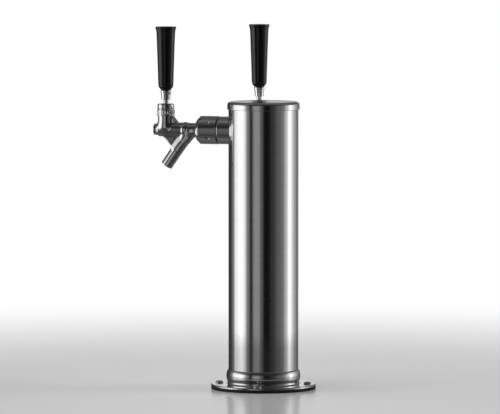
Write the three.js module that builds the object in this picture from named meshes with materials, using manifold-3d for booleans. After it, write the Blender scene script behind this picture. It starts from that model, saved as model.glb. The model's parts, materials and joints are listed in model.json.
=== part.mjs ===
// Beer tap tower: a three inch draught column with two faucets. Millimetres, +Z up.
// The origin is the centre of the base's underside, and the drinker stands at -Y.
import * as THREE from 'three';
import { mergeVertices } from 'three/addons/utils/BufferGeometryUtils.js';
import Module from 'manifold-3d';

const wasm = await Module();
wasm.setup();

// Gap between pieces that touch on the real object, and the clearance of a close fit
const GAP = 0.3;
const FIT = 0.15;

// Base: a gasket, a flange with a collar round the column's foot, and four screws
const GASKET_R = 57;
const GASKET_T = 3.2;
const PASSAGE_R = 28;
const FLANGE_R = 57.15;
const FLANGE_T = 2.3;
const FLANGE_EDGE_R = 1;
const FLANGE_TOP = GASKET_T + FLANGE_T;
const COLLAR_R = 40.4;
const COLLAR_NECK_R = 39.2;
const COLLAR_H = 15.5;
const COLLAR_FOOT_H = 2;
const COLLAR_SHOULDER_H = 0.5;
const SCREW_COUNT = 4;
const SCREW_CIRCLE_R = 48.5;
const SCREW_R = 2.4;
const SCREW_HOLE_R = 2.8;
const SCREW_HEAD_R = 4.2;
const SCREW_HEAD_H = 2.4;
const SCREW_HEAD_RIM_H = 1;
const SCREW_END_Z = 0.4;
const RECESS_LENGTH = 4.2;
const RECESS_WIDTH = 1;
const RECESS_DEPTH = 1.3;

// Column, its cap and its lining
const COLUMN_R = 38.1;
const COLUMN_WALL = 1.5;
const COLUMN_INNER_R = COLUMN_R - COLUMN_WALL;
const COLUMN_TOP = 311.5;
const SOCKET_WALL_R = COLUMN_R + FIT;
const CAP_T = 1.7;
const CAP_TOP = COLUMN_TOP + GAP + CAP_T;
const CAP_SKIRT_H = 9;
const CAP_R = 39.4;
const CAP_EDGE_R = 3.6;
const CAP_SPIGOT_R = 32;
const CAP_SPIGOT_H = 9;
const SEAL_FIT = 0.2;
const SLEEVE_R = 36.2;
const SLEEVE_BORE_R = 27;
const SLEEVE_TOP = 262;

// Faucets: both at one height, each turned this far from the tower's front
const SHANK_Z = 281;
const FAUCET_ANGLE = 35;

// Shank and the pieces on it. X runs outward from the column's axis, along the shank's axis.
const SHANK_IN_X = 22;
const SHANK_STEP_X = 50.3;
const SHANK_OUT_X = 66.5;
const SHANK_R = 11.1;
const SHANK_THREAD_R = 12.6;
const SHANK_BORE_R = 4;
const ESCUTCHEON_R = 15.2;
const LOCK_NUT_X = 26;
const LOCK_NUT_T = 6;
const LOCK_NUT_FLATS = 27;
const INNER_WASHER_X = LOCK_NUT_X + LOCK_NUT_T + GAP;
const INNER_WASHER_R = 14.6;
const TAIL_R = 3.6;
const TAIL_BORE_R = 2.3;
const TAIL_DROP_X = 10.5;
const TAIL_BEND_R = 8;
const TAIL_END_Z = -46;
const TAIL_START_X = SHANK_IN_X + 5;
const BARB_R = 4.5;
const BARB_ROOT_R = 3.4;
const BARB_H = 4.5;
const BARB_CONE_H = 3.15;
const BARB_COUNT = 3;
const NUT_X = 50.7;
const NUT_LIP_X = 71.9;
const NUT_END_X = 74.6;
const NUT_R = 15.5;
const NUT_CHAMFER = 3.5;
const NUT_EDGE = 0.6;
const SPANNER_HOLES = 6;
const SPANNER_HOLE_R = 2.2;
const SPANNER_HOLE_X = 60;
const SPANNER_HOLE_DEPTH = 1.4;
const COUPLING_WASHER_R = 10;

// Faucet body. Its barrel lies on the shank's axis, and its head stands up from the barrel.
const BODY_X = 68.8;
const BODY_FLANGE_R = 10.4;
const BODY_FLANGE_X = 71.6;
const NECK_R = 7.5;
const BARREL_R = 7.8;
const NUB_R = 6.3;
const NUB_EDGE = 1.2;
const NUB_END_X = 125.2;
const CAVITY_R = 6.2;
const SEAT_X = 90.5;
const BORE_R = 5;
const BORE_END_X = 123;
const LEVER_X = 112;
const HEAD_R = 8.7;
const HEAD_TOP = 19.3;
const HEAD_BORE_R = 7.3;
const HEAD_BORE_Z = 16.3;
const SOCKET_R = 5;
const SOCKET_Z = 13.9;
const SPOUT_R = 6.6;
const SPOUT_BORE_R = 4.5;
const SPOUT_TIP = [111.2, -39.5];
const BEHIND_HEAD_HALF = 4.8;
const OVER_SPOUT_HALF = 5.6;
const UNDER_NECK_HALF = 5;

// Lever: a ball in the head, a tail down to the valve's shaft, a stem up to the handle
const BALL_Z = 20.5;
const BALL_R = 6;
const LEVER_SWING = 30;
const STEM_R = 2.9;
const LEVER_TAIL_R = 1.8;
const TIP_Z = 2;
const TIP_R = 2.5;
const LEVER_THREAD_R = 3.6;
const LEVER_THREAD_Z = 38;
const LEVER_THREAD_CHAMFER = 0.7;
const LEVER_TOP = 63;
const COLLAR_Z = 32.5;
const LEVER_COLLAR_R = 5.8;
const LEVER_COLLAR_FOOT_R = 4.9;

// Handle and the threaded insert in it
const HANDLE_Z = 43;
const HANDLE_TOP = 112.6;
const HANDLE_FOOT_R = 8.3;
const HANDLE_SHOULDER_R = 10.1;
const HANDLE_RIM_R = 11.3;
const HANDLE_BORE_R = 5.6;
const HANDLE_BORE_TOP = 66;
const INSERT_R = 5.3;

// Bonnet over the ball, and the two rings that hold the ball
const BONNET_Z = 15;
const BONNET_TOP = 28;
const BONNET_R = 9.8;
const BONNET_STEP = 0.5;
const BONNET_LIP_R = 8.8;
const BONNET_SKIRT_H = 6.5;
const BONNET_CEILING = BALL_Z + 3.4;
const BONNET_MOUTH_R = 8.2;
const BONNET_THROAT_R = 5.8;
const RING_R = 7;
const WASHER_BORE_R = 5.9;
const WASHER_Z = HEAD_BORE_Z + 0.1;
const WASHER_T = 1.5;
const BUSHING_Z = BALL_Z + 0.7;
const BUSHING_T = 2.4;
const BUSHING_WIDE_R = 6.35;
const BUSHING_NARROW_R = 5.55;

// Valve shaft, with a washer that a nut holds against its shoulder
const SHAFT_X = 83;
const SHAFT_END_X = 121.5;
const SHAFT_STEM_R = 2.25;
const SHAFT_SHOULDER_R = 4.4;
const SHAFT_SHOULDER_T = 1.4;
const SHAFT_R = 4.75;
const SHAFT_GUIDE_X = 106;
const SHAFT_SLOT_HALF = 3;
const SHAFT_NUT_FLATS = 8.4;
const SHAFT_NUT_T = 3.3;
const SEAT_WASHER_R = 5.8;
const SEAT_WASHER_T = 3;

const RAD = Math.PI / 180;

// Sides of a round piece, by its size
const LARGE = 40;
const MEDIUM = 24;
const SMALL = 18;
const TINY = 12;

// Solids -----------------------------------------------------------------------------------------

/** Merges a geometry's shared vertices, drops empty triangles and turns its faces outward. */
function weld(geometry) {
  const bare = geometry.index ? geometry.toNonIndexed() : geometry.clone();
  bare.deleteAttribute('normal');
  bare.deleteAttribute('uv');
  const merged = mergeVertices(bare);
  const corner = (i) => new THREE.Vector3().fromBufferAttribute(merged.attributes.position, i);
  const kept = [];
  let volume = 0;
  for (let i = 0; i < merged.index.count; i += 3) {
    const [a, b, c] = [0, 1, 2].map((k) => merged.index.getX(i + k));
    if (a === b || b === c || c === a) continue;
    kept.push([a, b, c]);
    volume += corner(a).dot(corner(b).cross(corner(c)));
  }
  const outward = volume > 0 ? kept : kept.map(([a, b, c]) => [a, c, b]);
  merged.setIndex(outward.flat());
  return merged;
}

function toManifold(geometry) {
  const welded = weld(geometry);
  return new wasm.Manifold(new wasm.Mesh({
    numProp: 3,
    vertProperties: new Float32Array(welded.attributes.position.array),
    triVerts: new Uint32Array(welded.index.array),
  }));
}

function toGeometry(manifold) {
  const mesh = manifold.getMesh();
  const geometry = new THREE.BufferGeometry();
  geometry.setAttribute('position', new THREE.Float32BufferAttribute(mesh.vertProperties, 3));
  geometry.setIndex(Array.from(mesh.triVerts));
  return geometry;
}

/** Joins the first list of geometries and cuts the second list away from them. */
function carve(joined, removed) {
  let solid = joined.map(toManifold).reduce((whole, next) => whole.add(next));
  for (const tool of removed) {
    solid = solid.subtract(toManifold(tool));
  }
  return toGeometry(solid);
}

function overlapOf(first, second) {
  return toGeometry(toManifold(first).intersect(toManifold(second)));
}

// Shapes -----------------------------------------------------------------------------------------

/** Turns an outline of radius against height round the Z axis. */
function turned(draw, segments, arcSteps = 2) {
  const path = new THREE.Path();
  draw(path);
  return new THREE.LatheGeometry(path.getPoints(arcSteps), segments).rotateX(Math.PI / 2);
}

/** The same, laid down so that its axis runs outward along +X. */
function turnedOutward(draw, segments, arcSteps = 2) {
  return turned(draw, segments, arcSteps).rotateY(Math.PI / 2);
}

function ringOutline(inner, outer, low, high) {
  return (p) => p.moveTo(inner, low).lineTo(outer, low).lineTo(outer, high)
    .lineTo(inner, high).lineTo(inner, low);
}

function rodOutline(radius, low, high) {
  return (p) => p.moveTo(0, low).lineTo(radius, low).lineTo(radius, high).lineTo(0, high);
}

/** A flat plate with its outline in the X-Z plane, this thick to each side of it. */
function plate(corners, halfThickness) {
  const shape = new THREE.Shape(corners.map(([x, z]) => new THREE.Vector2(x, z)));
  return new THREE.ExtrudeGeometry(shape, { depth: 2 * halfThickness, bevelEnabled: false })
    .translate(0, 0, -halfThickness)
    .rotateX(Math.PI / 2);
}

/** A six-sided nut with its axis along +X. */
function hexNut(flats, boreR, x, thickness, boreSegments) {
  const outer = turnedOutward(rodOutline(flats / (2 * Math.cos(30 * RAD)), x, x + thickness), 6);
  const bore = turnedOutward(rodOutline(boreR, x - 1, x + thickness + 1), boreSegments);
  return carve([outer], [bore]);
}

/** A round section carried along a curve, hollow when a bore is given. */
function tube(curve, radius, sides, steps, boreR = 0) {
  const section = new THREE.Shape().absarc(0, 0, radius, 0, 2 * Math.PI);
  if (boreR > 0) {
    section.holes.push(new THREE.Path().absarc(0, 0, boreR, 0, 2 * Math.PI, true));
  }
  return new THREE.ExtrudeGeometry(section, {
    steps,
    curveSegments: sides,
    bevelEnabled: false,
    extrudePath: curve,
  });
}

/** A smooth curve in the X-Z plane through the given points. */
function sideCurve(points) {
  return new THREE.CatmullRomCurve3(points.map(([x, z]) => new THREE.Vector3(x, 0, z)));
}

// Materials --------------------------------------------------------------------------------------

const finish = (color, roughness, metalness) => () => (
  new THREE.MeshStandardMaterial({ color, roughness, metalness })
);
const stainless = finish(0xc9c9c7, 0.22, 1);
const chrome = finish(0xdedede, 0.08, 1);
const brass = finish(0xb98f4a, 0.35, 1);
const blackPlastic = finish(0x0b0b0b, 0.25, 0);
const rubber = finish(0x1c1c1c, 0.8, 0);
const nylon = finish(0xe6e2d6, 0.5, 0);
const foam = finish(0xd8cfae, 0.9, 0);

const tower = new THREE.Group();

function addTo(group, name, geometry, material) {
  const mesh = new THREE.Mesh(weld(geometry), material());
  mesh.name = name;
  group.add(mesh);
  return mesh;
}

// Base -------------------------------------------------------------------------------------------

const screwAngles = Array.from({ length: SCREW_COUNT }, (_, i) => (
  (i + 0.5) * 2 * Math.PI / SCREW_COUNT
));

function screwHoles() {
  return screwAngles.map((angle) => (
    turned(rodOutline(SCREW_HOLE_R, -1, FLANGE_TOP + 1), TINY)
      .translate(SCREW_CIRCLE_R * Math.cos(angle), SCREW_CIRCLE_R * Math.sin(angle), 0)
  ));
}

function baseGasket() {
  return carve([turned(ringOutline(PASSAGE_R, GASKET_R, 0, GASKET_T), LARGE)], screwHoles());
}

/** A round plate whose bulging collar stands round the column's foot. */
function baseFlange() {
  const collarTop = FLANGE_TOP + COLLAR_H;
  const bulgeLow = FLANGE_TOP + COLLAR_FOOT_H;
  const bulgeHalf = (collarTop - COLLAR_SHOULDER_H - bulgeLow) / 2;
  const bulgeR = COLLAR_R - COLLAR_NECK_R;
  const outline = (p) => p
    .moveTo(PASSAGE_R, GASKET_T)
    .lineTo(FLANGE_R, GASKET_T)
    .absarc(FLANGE_R - FLANGE_EDGE_R, FLANGE_TOP - FLANGE_EDGE_R, FLANGE_EDGE_R, 0, 90 * RAD)
    .lineTo(COLLAR_NECK_R + COLLAR_FOOT_H, FLANGE_TOP)
    .absellipse(COLLAR_NECK_R, bulgeLow + bulgeHalf, bulgeR, bulgeHalf, -90 * RAD, 90 * RAD)
    .lineTo(SOCKET_WALL_R, collarTop)
    .lineTo(SOCKET_WALL_R, FLANGE_TOP)
    .lineTo(PASSAGE_R, FLANGE_TOP)
    .lineTo(PASSAGE_R, GASKET_T);
  return carve([turned(outline, LARGE)], screwHoles());
}

/** A pan-head screw with a cross recess. Its shank ends level with the base's underside. */
function mountingScrew() {
  const headZ = FLANGE_TOP + 0.05;
  const headTop = FLANGE_TOP + SCREW_HEAD_H;
  const outline = (p) => p
    .moveTo(0, SCREW_END_Z)
    .lineTo(SCREW_R, SCREW_END_Z)
    .lineTo(SCREW_R, headZ)
    .lineTo(SCREW_HEAD_R, headZ)
    .lineTo(SCREW_HEAD_R, FLANGE_TOP + SCREW_HEAD_RIM_H)
    .quadraticCurveTo(SCREW_HEAD_R - 0.6, headTop, 0, headTop);
  const recess = [0, 1].map((turn) => (
    new THREE.BoxGeometry(RECESS_LENGTH, RECESS_WIDTH, 2 * RECESS_DEPTH)
      .translate(0, 0, headTop)
      .rotateZ(turn * Math.PI / 2)
  ));
  return carve([turned(outline, TINY)], recess);
}

addTo(tower, 'base_gasket', baseGasket(), rubber);
addTo(tower, 'base_flange', baseFlange(), stainless);
screwAngles.forEach((angle, i) => {
  const screw = addTo(tower, `mounting_screw_${i + 1}`, mountingScrew(), stainless);
  screw.position.set(SCREW_CIRCLE_R * Math.cos(angle), SCREW_CIRCLE_R * Math.sin(angle), 0);
});

// Column -----------------------------------------------------------------------------------------

const faucetTurns = { right: (-90 + FAUCET_ANGLE) * RAD, left: (-90 - FAUCET_ANGLE) * RAD };

function columnTube() {
  const wall = turned(ringOutline(COLUMN_INNER_R, COLUMN_R, FLANGE_TOP, COLUMN_TOP), LARGE);
  const holes = Object.values(faucetTurns).map((angle) => (
    turnedOutward(rodOutline(SHANK_R + GAP, 20, 60), SMALL).rotateZ(angle).translate(0, 0, SHANK_Z)
  ));
  return carve([wall], holes);
}

/** A shallow cap. Its skirt goes over the tube and its spigot goes down inside the seal. */
function topCap() {
  const ceiling = CAP_TOP - CAP_T;
  const outline = (p) => p
    .moveTo(0, ceiling)
    .lineTo(CAP_SPIGOT_R - CAP_T, ceiling)
    .lineTo(CAP_SPIGOT_R - CAP_T, ceiling - CAP_SPIGOT_H)
    .lineTo(CAP_SPIGOT_R, ceiling - CAP_SPIGOT_H)
    .lineTo(CAP_SPIGOT_R, ceiling)
    .lineTo(SOCKET_WALL_R, ceiling)
    .lineTo(SOCKET_WALL_R, CAP_TOP - CAP_SKIRT_H)
    .lineTo(CAP_R, CAP_TOP - CAP_SKIRT_H)
    .absarc(CAP_R - CAP_EDGE_R, CAP_TOP - CAP_EDGE_R, CAP_EDGE_R, 0, 90 * RAD)
    .lineTo(0, CAP_TOP);
  return turned(outline, LARGE, 1);
}

addTo(tower, 'column_tube', columnTube(), stainless);
addTo(tower, 'top_cap', topCap(), stainless);
addTo(tower, 'cap_seal', turned(ringOutline(
  CAP_SPIGOT_R + SEAL_FIT,
  COLUMN_INNER_R - SEAL_FIT,
  CAP_TOP - CAP_T - CAP_SPIGOT_H,
  COLUMN_TOP,
), LARGE), rubber);
addTo(tower, 'insulation_sleeve', turned(ringOutline(
  SLEEVE_BORE_R,
  SLEEVE_R,
  FLANGE_TOP + GAP,
  SLEEVE_TOP,
), MEDIUM), foam);

// Shank and its fastenings -----------------------------------------------------------------------

/** A threaded pipe through the column's wall. Its thicker outer end takes the coupling nut. */
function shank() {
  return turnedOutward((p) => p
    .moveTo(SHANK_BORE_R, SHANK_IN_X)
    .lineTo(SHANK_R, SHANK_IN_X)
    .lineTo(SHANK_R, SHANK_STEP_X)
    .lineTo(SHANK_THREAD_R, SHANK_STEP_X)
    .lineTo(SHANK_THREAD_R, SHANK_OUT_X)
    .lineTo(SHANK_BORE_R, SHANK_OUT_X)
    .lineTo(SHANK_BORE_R, SHANK_IN_X), SMALL);
}

function upright(radius) {
  return turned(rodOutline(radius, -30, 30), LARGE);
}

/** A collar whose inner end is hollowed to sit on the column's curve. */
function shankEscutcheon() {
  const outline = (p) => p
    .moveTo(SHANK_R + GAP, COLUMN_INNER_R - 8)
    .lineTo(ESCUTCHEON_R, COLUMN_INNER_R - 8)
    .lineTo(ESCUTCHEON_R, SHANK_STEP_X - 2)
    .lineTo(ESCUTCHEON_R - 1, SHANK_STEP_X - GAP)
    .lineTo(SHANK_R + GAP, SHANK_STEP_X - GAP)
    .lineTo(SHANK_R + GAP, COLUMN_INNER_R - 8);
  return carve([turnedOutward(outline, MEDIUM)], [upright(COLUMN_R + GAP)]);
}

/** A washer whose outer end is rounded to the inside of the column. */
function innerWasher() {
  const blank = turnedOutward(
    ringOutline(SHANK_R + GAP, INNER_WASHER_R, INNER_WASHER_X, COLUMN_R),
    SMALL,
  );
  return overlapOf(blank, upright(COLUMN_INNER_R - GAP));
}

/** A tube that turns down inside the column, with barbs for the beer line at its end. */
function tailPiece() {
  const route = new THREE.CurvePath();
  const start = new THREE.Vector3(TAIL_START_X, 0, 0);
  const bendIn = new THREE.Vector3(TAIL_DROP_X + TAIL_BEND_R, 0, 0);
  const corner = new THREE.Vector3(TAIL_DROP_X, 0, 0);
  const bendOut = new THREE.Vector3(TAIL_DROP_X, 0, -TAIL_BEND_R);
  const end = new THREE.Vector3(TAIL_DROP_X, 0, TAIL_END_Z);
  route.add(new THREE.LineCurve3(start, bendIn));
  route.add(new THREE.QuadraticBezierCurve3(bendIn, corner, bendOut));
  route.add(new THREE.LineCurve3(bendOut, end));
  const pipe = tube(route, TAIL_R, 4, 9);
  const bore = tube(route, TAIL_BORE_R, 3, 9);
  const barbs = Array.from({ length: BARB_COUNT }, (_, i) => {
    const low = TAIL_END_Z + i * BARB_H;
    return turned((p) => p.moveTo(0, low).lineTo(BARB_ROOT_R, low)
      .lineTo(BARB_R, low + BARB_CONE_H).lineTo(0, low + BARB_CONE_H), TINY)
      .translate(TAIL_DROP_X, 0, 0);
  });
  const ends = [
    turnedOutward(rodOutline(TAIL_BORE_R, TAIL_START_X - 2, TAIL_START_X + 2), 6),
    turned(rodOutline(TAIL_BORE_R, TAIL_END_Z - 2, TAIL_END_Z + 2), 6).translate(TAIL_DROP_X, 0, 0),
  ];
  return carve([pipe, ...barbs], [bore, ...ends]);
}

/** A round nut that clamps the faucet body's flange to the shank's end. */
function couplingNut() {
  const outline = (p) => p
    .moveTo(SHANK_THREAD_R + GAP, NUT_X)
    .lineTo(NUT_R - NUT_EDGE, NUT_X)
    .lineTo(NUT_R, NUT_X + NUT_EDGE)
    .lineTo(NUT_R, NUT_END_X - NUT_CHAMFER)
    .lineTo(NUT_R - NUT_CHAMFER, NUT_END_X)
    .lineTo(NECK_R + GAP, NUT_END_X)
    .lineTo(NECK_R + GAP, NUT_LIP_X)
    .lineTo(SHANK_THREAD_R + GAP, NUT_LIP_X)
    .lineTo(SHANK_THREAD_R + GAP, NUT_X);
  const holes = Array.from({ length: SPANNER_HOLES }, (_, i) => (
    turned(rodOutline(SPANNER_HOLE_R, NUT_R - SPANNER_HOLE_DEPTH, NUT_R + 2), 6)
      .translate(SPANNER_HOLE_X, 0, 0)
      .rotateX(i * 2 * Math.PI / SPANNER_HOLES)
  ));
  return carve([turnedOutward(outline, MEDIUM)], holes);
}

function couplingWasher() {
  const outline = ringOutline(
    SHANK_BORE_R + 0.5,
    COUPLING_WASHER_R,
    SHANK_OUT_X + GAP,
    BODY_X - GAP,
  );
  return turnedOutward(outline, SMALL);
}

// Faucet body ------------------------------------------------------------------------------------

function barrel() {
  return turnedOutward((p) => p
    .moveTo(0, BODY_X)
    .lineTo(BODY_FLANGE_R, BODY_X)
    .lineTo(BODY_FLANGE_R, BODY_FLANGE_X)
    .lineTo(NECK_R, BODY_FLANGE_X)
    .lineTo(NECK_R, SEAT_X - 6)
    .lineTo(BARREL_R, SEAT_X)
    .lineTo(BARREL_R, LEVER_X + 6)
    .lineTo(NUB_R + 0.4, LEVER_X + 9)
    .lineTo(NUB_R, NUB_END_X - NUB_EDGE)
    .lineTo(NUB_R - NUB_EDGE, NUB_END_X)
    .lineTo(0, NUB_END_X), SMALL);
}

/** The upright cup that holds the lever's ball, rounded into the barrel below. */
function head() {
  return turned((p) => p
    .moveTo(0, -6)
    .lineTo(NUB_R - 1, -4)
    .quadraticCurveTo(HEAD_R, 0, HEAD_R, 7)
    .lineTo(HEAD_R, HEAD_TOP)
    .lineTo(0, HEAD_TOP), SMALL)
    .translate(LEVER_X, 0, 0);
}

/** Webs that fill the corners between the barrel, the head and the spout. */
function webs() {
  const behindHead = plate([
    [95, 5], [96.5, 7.6], [98.8, 8], [101.2, 10], [102.7, 12.4], [103.2, 15], [110, 15], [110, 5],
  ], BEHIND_HEAD_HALF);
  const overSpout = plate(
    [[86, -5], [117, -5.5], [112, -8.5], [104, -18.5], [97, -22]],
    OVER_SPOUT_HALF,
  );
  const underNeck = plate(
    [[77, -5], [90, -5], [91, -16], [86, -14.5], [80, -8.5]],
    UNDER_NECK_HALF,
  );
  return [behindHead, overSpout, underNeck];
}

/** The room that the lever's tail and tip sweep through, from the ball down to the bore. */
function tailSlot() {
  const lean = (z) => LEVER_X - (BALL_Z - z) * Math.tan(LEVER_SWING * RAD)
    - LEVER_TAIL_R / Math.cos(LEVER_SWING * RAD) - GAP;
  const tipX = LEVER_X - (BALL_Z - TIP_Z) * Math.sin(LEVER_SWING * RAD) - TIP_R;
  const front = LEVER_X + TIP_R + GAP;
  return plate([
    [tipX - 0.4, TIP_Z],
    [tipX - 0.4, 5.6],
    [lean(7.2) - 0.6, 7.2],
    [lean(11), 11],
    [lean(HEAD_BORE_Z + 0.5), HEAD_BORE_Z + 0.5],
    [front, HEAD_BORE_Z + 0.5],
    [front, TIP_Z],
  ], TIP_R + 0.4);
}

function spoutRoute() {
  return new THREE.QuadraticBezierCurve3(
    new THREE.Vector3(83, 0, -2.5),
    new THREE.Vector3(91.5, 0, -10.5),
    new THREE.Vector3(SPOUT_TIP[0], 0, SPOUT_TIP[1]),
  );
}

/** The beer's way from the bore, past the valve's seat, down to the spout's mouth. */
function spoutBore() {
  const [tipX, tipZ] = SPOUT_TIP;
  const overrun = [tipX + 1.15, tipZ - 1.64];
  const route = sideCurve([[94.4, -1], [94.6, -8], [96, -14.5], [99.4, -20.6], overrun]);
  return tube(route, SPOUT_BORE_R, 5, 6);
}

function faucetBody() {
  const spout = tube(spoutRoute(), SPOUT_R, 6, 4);
  const cavity = turnedOutward(rodOutline(CAVITY_R, BODY_X - 1, SEAT_X), SMALL);
  const bore = turnedOutward(rodOutline(BORE_R, SEAT_X - 1, BORE_END_X), SMALL);
  const cup = turned((p) => p
    .moveTo(0, SOCKET_Z)
    .lineTo(SOCKET_R, SOCKET_Z)
    .lineTo(SOCKET_R, HEAD_BORE_Z)
    .lineTo(HEAD_BORE_R, HEAD_BORE_Z)
    .lineTo(HEAD_BORE_R, HEAD_TOP + 1)
    .lineTo(0, HEAD_TOP + 1), SMALL)
    .translate(LEVER_X, 0, 0);
  return carve([barrel(), head(), spout, ...webs()], [cavity, bore, cup, tailSlot(), spoutBore()]);
}

// Valve ------------------------------------------------------------------------------------------

/** A rod that carries the valve's washer at one end and is notched for the lever's tip. */
function valveShaft() {
  const rod = turnedOutward((p) => p
    .moveTo(0, SHAFT_X)
    .lineTo(SHAFT_STEM_R, SHAFT_X)
    .lineTo(SHAFT_STEM_R, SEAT_X)
    .lineTo(SHAFT_SHOULDER_R, SEAT_X)
    .lineTo(SHAFT_SHOULDER_R, SEAT_X + SHAFT_SHOULDER_T)
    .lineTo(SHAFT_STEM_R, SEAT_X + SHAFT_SHOULDER_T + 1)
    .lineTo(SHAFT_STEM_R, SHAFT_GUIDE_X - 1.5)
    .lineTo(SHAFT_R, SHAFT_GUIDE_X)
    .lineTo(SHAFT_R, SHAFT_END_X)
    .lineTo(0, SHAFT_END_X), SMALL);
  const notchFloor = TIP_Z - TIP_R - 0.6;
  const notch = plate([
    [LEVER_X - SHAFT_SLOT_HALF, notchFloor],
    [LEVER_X + SHAFT_SLOT_HALF, notchFloor],
    [LEVER_X + SHAFT_SLOT_HALF, SHAFT_R + 1],
    [LEVER_X - SHAFT_SLOT_HALF, SHAFT_R + 1],
  ], SHAFT_R + 1);
  return carve([rod], [notch]);
}

function seatWasher() {
  const outline = ringOutline(
    SHAFT_STEM_R + GAP,
    SEAT_WASHER_R,
    SEAT_X - SEAT_WASHER_T,
    SEAT_X - GAP,
  );
  return turnedOutward(outline, SMALL);
}

function shaftNut() {
  const x = SEAT_X - SEAT_WASHER_T - GAP - SHAFT_NUT_T;
  return hexNut(SHAFT_NUT_FLATS, SHAFT_STEM_R + GAP, x, SHAFT_NUT_T, TINY);
}

// Lever and handle -------------------------------------------------------------------------------

function lever() {
  const tipJoin = Math.asin(LEVER_TAIL_R / TIP_R);
  const ballLow = Math.acos(LEVER_TAIL_R / BALL_R);
  const ballHigh = Math.acos(STEM_R / BALL_R);
  return turned((p) => p
    .moveTo(0, TIP_Z - TIP_R)
    .absarc(0, TIP_Z, TIP_R, -90 * RAD, 90 * RAD - tipJoin)
    .absarc(0, BALL_Z, BALL_R, -ballLow, ballHigh)
    .lineTo(STEM_R, LEVER_THREAD_Z)
    .lineTo(LEVER_THREAD_R, LEVER_THREAD_Z + LEVER_THREAD_CHAMFER)
    .lineTo(LEVER_THREAD_R, LEVER_TOP - 1)
    .lineTo(LEVER_THREAD_R - 1, LEVER_TOP)
    .lineTo(0, LEVER_TOP), TINY, 3)
    .translate(LEVER_X, 0, 0);
}

/** A tapered ring, wider at the top, that locks the handle on the lever's thread. */
function leverCollar() {
  const top = HANDLE_Z - GAP;
  const step = LEVER_THREAD_Z - GAP;
  return turned((p) => p
    .moveTo(STEM_R + GAP, COLLAR_Z)
    .lineTo(LEVER_COLLAR_FOOT_R, COLLAR_Z)
    .quadraticCurveTo(LEVER_COLLAR_FOOT_R, step, LEVER_COLLAR_R, top - 1)
    .lineTo(LEVER_COLLAR_R - 0.3, top)
    .lineTo(LEVER_THREAD_R + GAP, top)
    .lineTo(LEVER_THREAD_R + GAP, step)
    .lineTo(STEM_R + GAP, step)
    .lineTo(STEM_R + GAP, COLLAR_Z), SMALL)
    .translate(LEVER_X, 0, 0);
}

/** A slim handle that widens slowly upward and flares at its rim. */
function tapHandle() {
  return turned((p) => p
    .moveTo(HANDLE_BORE_R, HANDLE_Z)
    .lineTo(HANDLE_FOOT_R - 1, HANDLE_Z)
    .quadraticCurveTo(HANDLE_FOOT_R, HANDLE_Z + 1, HANDLE_FOOT_R, HANDLE_Z + 4)
    .quadraticCurveTo(HANDLE_SHOULDER_R - 0.8, HANDLE_TOP - 30, HANDLE_SHOULDER_R, HANDLE_TOP - 9)
    .quadraticCurveTo(HANDLE_SHOULDER_R + 0.2, HANDLE_TOP - 4, HANDLE_RIM_R, HANDLE_TOP - 1.6)
    .lineTo(HANDLE_RIM_R - 0.6, HANDLE_TOP)
    .lineTo(0, HANDLE_TOP)
    .moveTo(0, HANDLE_BORE_TOP)
    .lineTo(HANDLE_BORE_R, HANDLE_BORE_TOP)
    .lineTo(HANDLE_BORE_R, HANDLE_Z), SMALL)
    .translate(LEVER_X, 0, 0);
}

function handleInsert() {
  return turned(
    ringOutline(LEVER_THREAD_R + GAP, INSERT_R, HANDLE_Z + GAP, HANDLE_BORE_TOP - 2),
    TINY,
  ).translate(LEVER_X, 0, 0);
}

// Bonnet -----------------------------------------------------------------------------------------

/** A screwed cap over the ball. Its mouth is a cone, so that the lever can lean. */
function bonnet() {
  return turned((p) => p
    .moveTo(HEAD_R + GAP, BONNET_Z)
    .lineTo(BONNET_R - 0.5, BONNET_Z)
    .lineTo(BONNET_R, BONNET_Z + 0.5)
    .lineTo(BONNET_R, BONNET_Z + BONNET_SKIRT_H)
    .lineTo(BONNET_R - BONNET_STEP, BONNET_Z + BONNET_SKIRT_H + BONNET_STEP)
    .quadraticCurveTo(BONNET_R - BONNET_STEP, BONNET_TOP, BONNET_LIP_R, BONNET_TOP)
    .lineTo(BONNET_MOUTH_R, BONNET_TOP)
    .lineTo(BONNET_THROAT_R, BONNET_CEILING)
    .lineTo(RING_R + GAP, BONNET_CEILING)
    .lineTo(RING_R + GAP, HEAD_TOP + GAP)
    .lineTo(HEAD_R + GAP, HEAD_TOP + GAP)
    .lineTo(HEAD_R + GAP, BONNET_Z), SMALL)
    .translate(LEVER_X, 0, 0);
}

/** The ring under the ball. */
function frictionWasher() {
  return turned(ringOutline(WASHER_BORE_R, RING_R, WASHER_Z, WASHER_Z + WASHER_T), SMALL)
    .translate(LEVER_X, 0, 0);
}

/** The tapered ring over the ball. */
function ballBushing() {
  const high = BUSHING_Z + BUSHING_T;
  return turned((p) => p.moveTo(BUSHING_WIDE_R, BUSHING_Z).lineTo(RING_R, BUSHING_Z)
    .lineTo(RING_R, high).lineTo(BUSHING_NARROW_R, high).lineTo(BUSHING_WIDE_R, BUSHING_Z), SMALL)
    .translate(LEVER_X, 0, 0);
}

// Two faucets ------------------------------------------------------------------------------------

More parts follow.
